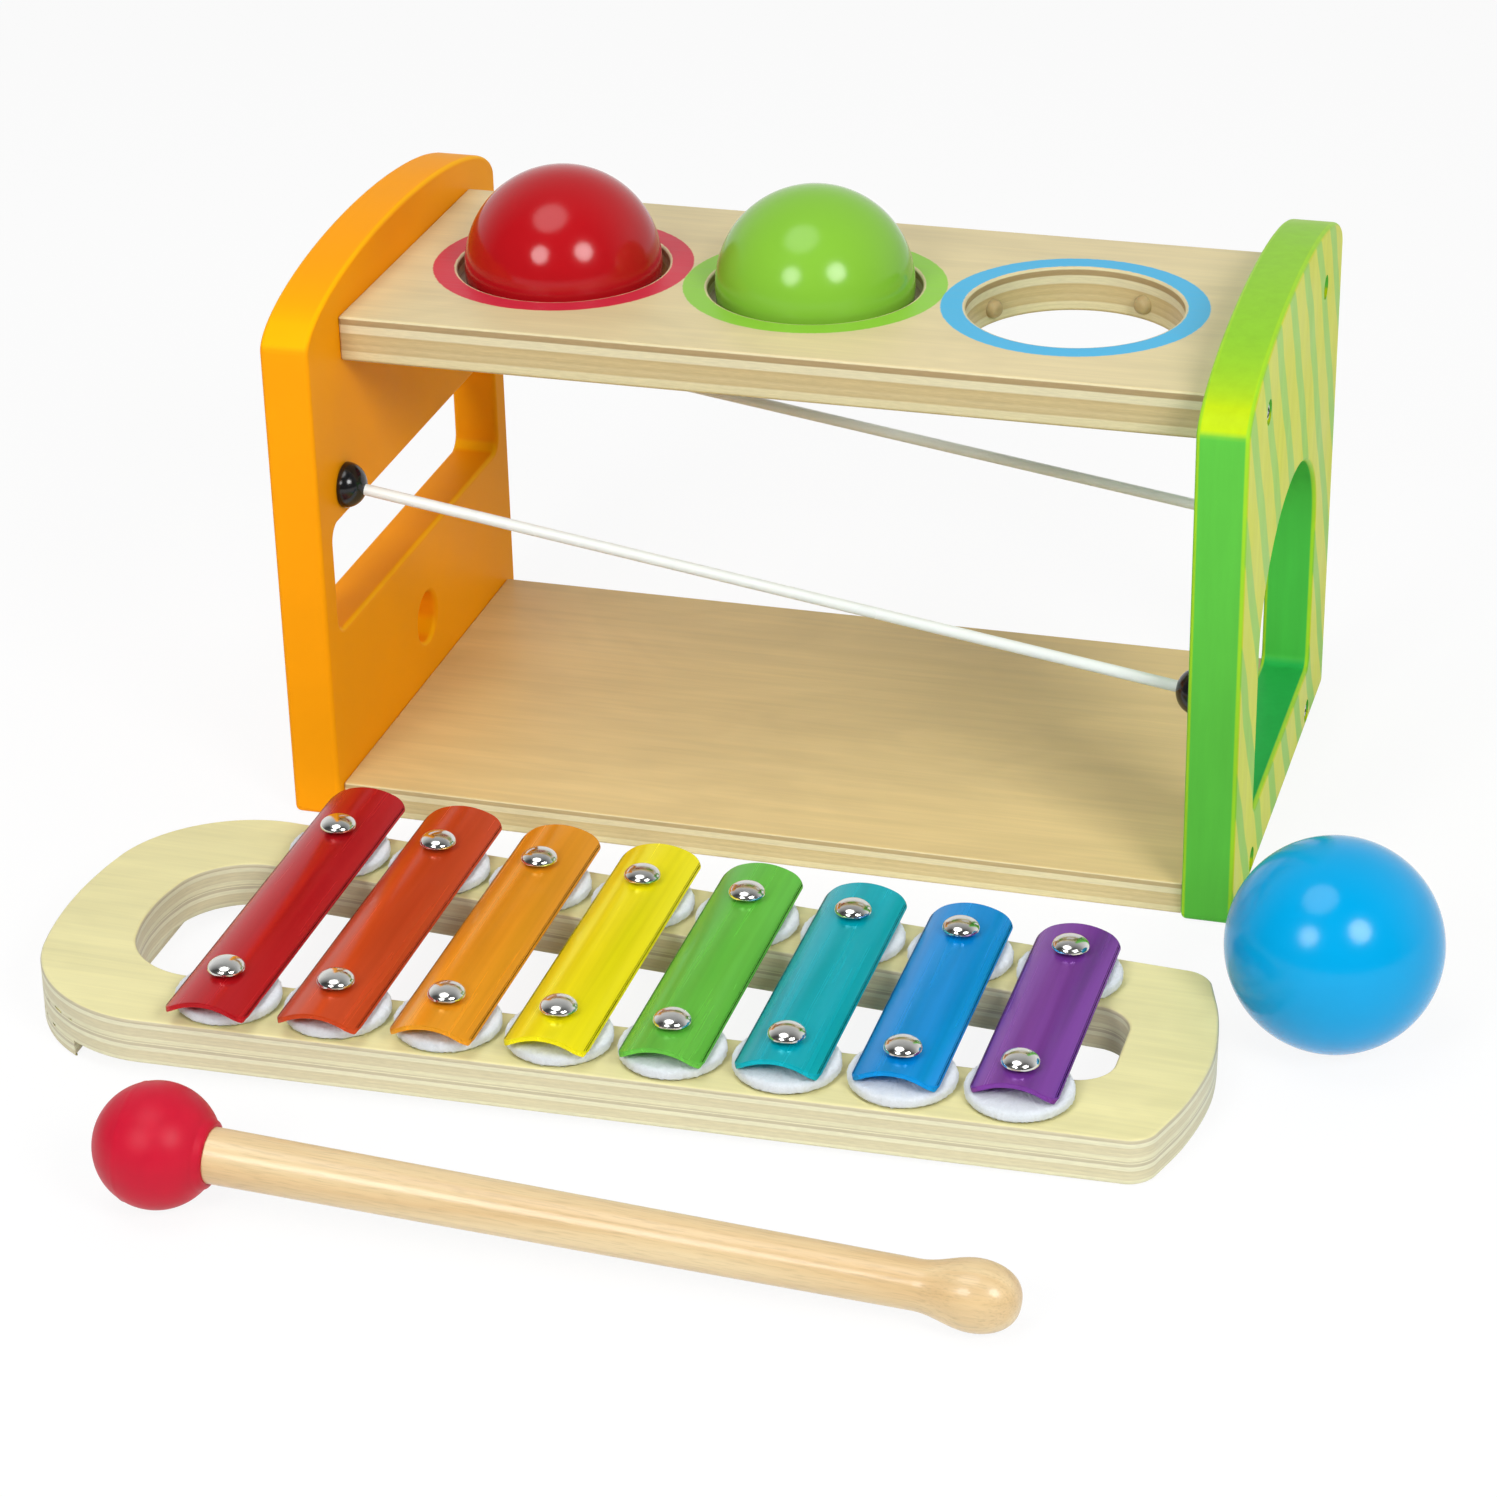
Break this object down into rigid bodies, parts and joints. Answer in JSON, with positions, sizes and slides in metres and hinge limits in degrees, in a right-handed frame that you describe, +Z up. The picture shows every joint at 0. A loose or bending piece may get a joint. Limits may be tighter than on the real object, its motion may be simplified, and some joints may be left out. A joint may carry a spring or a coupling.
{
  "type": "xylophone pounding bench",
  "caption": "Wooden toy bench with arched end panels, ball holes to pound balls through, guard rods, a removable sloping xylophone and a mallet.",
  "frame": {"origin": "middle of the base board's underside, on the floor", "axes": "+X along the bench to the green panel, +Y from front to back, +Z up"},
  "size_m": [0.3327, 0.336, 0.1588],
  "materials": {
    "orange_painted_wood": "gloss orange paint",
    "green_painted_wood": "gloss green paint, wavy pale stripes on the outer face",
    "birch_plywood": "clear-coated birch plywood with plies showing at the edges",
    "red_painted_wood": "gloss red paint",
    "lime_painted_wood": "gloss green paint",
    "blue_painted_wood": "gloss blue paint",
    "white_painted_metal": "white paint",
    "black_plastic": "gloss black",
    "screw_steel": "zinc plated",
    "soft_nub": "soft translucent beige",
    "chrome": "polished",
    "white_felt": "fuzzy white felt",
    "red_rubber": "smooth red rubber",
    "maple": "clear-coated light wood",
    "red_enamel": "gloss enamel on steel sheet",
    "vermilion_enamel": "gloss enamel on steel sheet",
    "orange_enamel": "gloss enamel on steel sheet",
    "yellow_enamel": "gloss enamel on steel sheet",
    "green_enamel": "gloss enamel on steel sheet",
    "teal_enamel": "gloss enamel on steel sheet",
    "blue_enamel": "gloss enamel on steel sheet",
    "purple_enamel": "gloss enamel on steel sheet"
  },
  "bodies": {
    "bench": {"left_end_panel": "orange_painted_wood", "right_end_panel": "green_painted_wood", "top_board": "birch_plywood", "base_board": "birch_plywood", "front_guard_rod": "white_painted_metal", "rear_guard_rod": "white_painted_metal", "front_left_rod_cap": "black_plastic", "front_right_rod_cap": "black_plastic", "rear_left_rod_cap": "black_plastic", "rear_right_rod_cap": "black_plastic", "left_upper_front_screw": "screw_steel", "left_upper_rear_screw": "screw_steel", "left_lower_front_screw": "screw_steel", "left_lower_rear_screw": "screw_steel", "right_upper_front_screw": "screw_steel", "right_upper_rear_screw": "screw_steel", "right_lower_front_screw": "screw_steel", "right_lower_rear_screw": "screw_steel", "left_hole_right_nub": "soft_nub", "left_hole_left_nub": "soft_nub", "left_hole_front_nub": "soft_nub", "middle_hole_right_nub": "soft_nub", "middle_hole_left_nub": "soft_nub", "middle_hole_front_nub": "soft_nub", "right_hole_right_nub": "soft_nub", "right_hole_left_nub": "soft_nub", "right_hole_front_nub": "soft_nub"},
    "red_ball": {"red_ball": "red_painted_wood"},
    "green_ball": {"green_ball": "lime_painted_wood"},
    "blue_ball": {"blue_ball": "blue_painted_wood"},
    "xylophone": {"xylophone_frame": "birch_plywood", "front_felt_row": "white_felt", "rear_felt_row": "white_felt", "bar_1": "red_enamel", "bar_2": "vermilion_enamel", "bar_3": "orange_enamel", "bar_4": "yellow_enamel", "bar_5": "green_enamel", "bar_6": "teal_enamel", "bar_7": "blue_enamel", "bar_8": "purple_enamel", "bar_1_front_pin": "chrome", "bar_1_rear_pin": "chrome", "bar_2_front_pin": "chrome", "bar_2_rear_pin": "chrome", "bar_3_front_pin": "chrome", "bar_3_rear_pin": "chrome", "bar_4_front_pin": "chrome", "bar_4_rear_pin": "chrome", "bar_5_front_pin": "chrome", "bar_5_rear_pin": "chrome", "bar_6_front_pin": "chrome", "bar_6_rear_pin": "chrome", "bar_7_front_pin": "chrome", "bar_7_rear_pin": "chrome", "bar_8_front_pin": "chrome", "bar_8_rear_pin": "chrome"},
    "mallet": {"mallet_head": "red_rubber", "mallet_stick": "maple"}
  },
  "joints": [
    {"name": "red_ball_drop", "type": "slide", "parent": "bench", "child": "red_ball", "axis": [0, 0, 1], "range_m": [-0.098, 0.05], "deforming": ["left_hole_right_nub", "left_hole_left_nub", "left_hole_front_nub"]},
    {"name": "green_ball_drop", "type": "slide", "parent": "bench", "child": "green_ball", "axis": [0, 0, 1], "range_m": [-0.098, 0.05], "deforming": ["middle_hole_right_nub", "middle_hole_left_nub", "middle_hole_front_nub"]},
    {"name": "blue_ball_lift", "type": "slide", "parent": "bench", "child": "blue_ball", "axis": [0, 0, 1], "range_m": [0, 0.1]},
    {"name": "xylophone_lift", "type": "slide", "parent": "bench", "child": "xylophone", "axis": [0, 0, 1], "range_m": [0, 0.1]},
    {"name": "mallet_lift", "type": "slide", "parent": "bench", "child": "mallet", "axis": [0, 0, 1], "range_m": [0, 0.1]}
  ]
}
